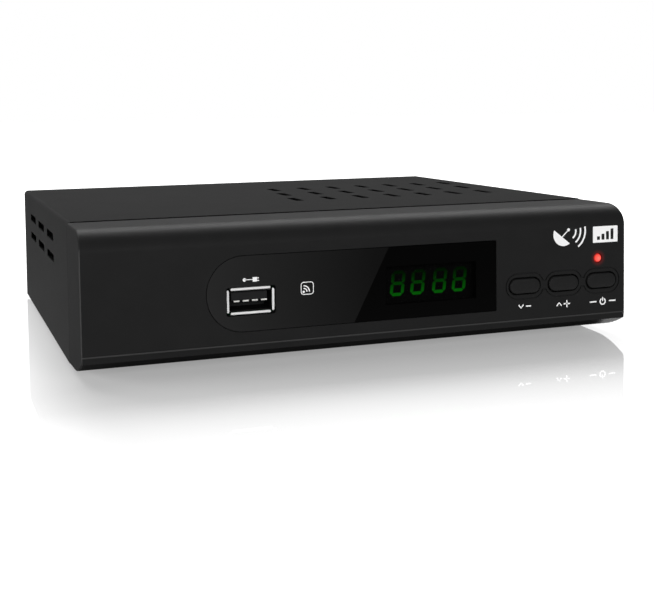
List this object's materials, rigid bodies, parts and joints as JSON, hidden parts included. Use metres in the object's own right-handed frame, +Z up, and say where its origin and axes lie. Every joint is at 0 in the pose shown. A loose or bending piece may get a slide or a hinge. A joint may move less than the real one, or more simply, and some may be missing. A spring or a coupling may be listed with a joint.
{
  "type": "satellite television receiver",
  "caption": "Low black steel box with a moulded front panel, a smoked lens over a lit clock display, a data port, push buttons and rear sockets.",
  "frame": {"origin": "on the surface that the feet rest on, under the middle of the part's box", "axes": "+X to the right seen from the front, -Y out of the front panel, +Z up"},
  "size_m": [0.17, 0.166, 0.042],
  "materials": {
    "panel_plastic": "fine satin black",
    "lens": "gloss, smoked black",
    "key_plastic": "satin black",
    "stem_plastic": "satin black",
    "switch_metal": "tinned",
    "board": "green solder mask",
    "chip": "matt black",
    "display_body": "matt black",
    "segments": "lit green",
    "led": "lit red",
    "ir_case": "dark red-black",
    "port_metal": "bright nickel",
    "port_plastic": "satin dark grey",
    "contacts": "gold flash",
    "screw_steel": "zinc",
    "screw_black": "black zinc",
    "socket_plastic": "natural nylon",
    "ribbon": "grey ribbon",
    "tray_steel": "galvanised",
    "standoff_brass": "plain",
    "foot_rubber": "matt black",
    "cover_paint": "fine textured black powder coat",
    "can_steel": "tinned",
    "nickel": "nickel",
    "insulator": "white",
    "jack_black": "black",
    "jack_yellow": "yellow",
    "jack_white": "white",
    "jack_red": "red",
    "sink_aluminium": "black anodised",
    "crystal_metal": "satin",
    "capacitor": "dark blue sleeve",
    "ferrite": "grey ferrite"
  },
  "bodies": {
    "case": {"front_panel": "panel_plastic", "display_lens": "lens", "channel_down_switch": "switch_metal", "channel_up_switch": "switch_metal", "power_switch": "switch_metal", "front_board": "board", "front_controller": "chip", "display_module": "display_body", "display_segments": "segments", "power_led": "led", "infrared_receiver": "ir_case", "usb_shell": "port_metal", "usb_tongue": "port_plastic", "usb_contacts": "contacts", "front_board_screws": "screw_steel", "front_link_socket": "socket_plastic", "main_link_socket": "socket_plastic", "link_ribbon": "ribbon", "base_tray": "tray_steel", "board_standoffs": "standoff_brass", "rubber_feet": "foot_rubber", "top_cover": "cover_paint", "cover_screws": "screw_black", "panel_screws": "screw_steel", "main_board": "board", "main_board_screws": "screw_steel", "tuner_can": "can_steel", "aerial_in_connector": "nickel", "loop_out_connector": "nickel", "aerial_insulators": "insulator", "aerial_washers": "nickel", "aerial_nuts": "nickel", "hdmi_shell": "port_metal", "hdmi_tongue": "port_plastic", "phono_block": "jack_black", "phono_barrels": "nickel", "video_insert": "jack_yellow", "audio_left_insert": "jack_white", "audio_right_insert": "jack_red", "power_inlet": "jack_black", "power_inlet_pin": "port_metal", "main_chip": "chip", "heat_sink": "sink_aluminium", "memory_chips": "chip", "flash_chip": "chip", "crystal": "crystal_metal", "electrolytic_capacitors": "capacitor", "power_inductors": "ferrite"},
    "channel_down_button": {"channel_down_button": "key_plastic", "channel_down_stem": "stem_plastic"},
    "channel_up_button": {"channel_up_button": "key_plastic", "channel_up_stem": "stem_plastic"},
    "power_button": {"power_button": "key_plastic", "power_stem": "stem_plastic"}
  },
  "joints": [
    {"name": "channel_down_press", "type": "slide", "parent": "case", "child": "channel_down_button", "axis": [0, 1, 0], "range_m": [0, 0.0004], "stiffness_N_per_m": 1000},
    {"name": "channel_up_press", "type": "slide", "parent": "case", "child": "channel_up_button", "axis": [0, 1, 0], "range_m": [0, 0.0004], "stiffness_N_per_m": 1000},
    {"name": "power_press", "type": "slide", "parent": "case", "child": "power_button", "axis": [0, 1, 0], "range_m": [0, 0.0004], "stiffness_N_per_m": 1000}
  ]
}
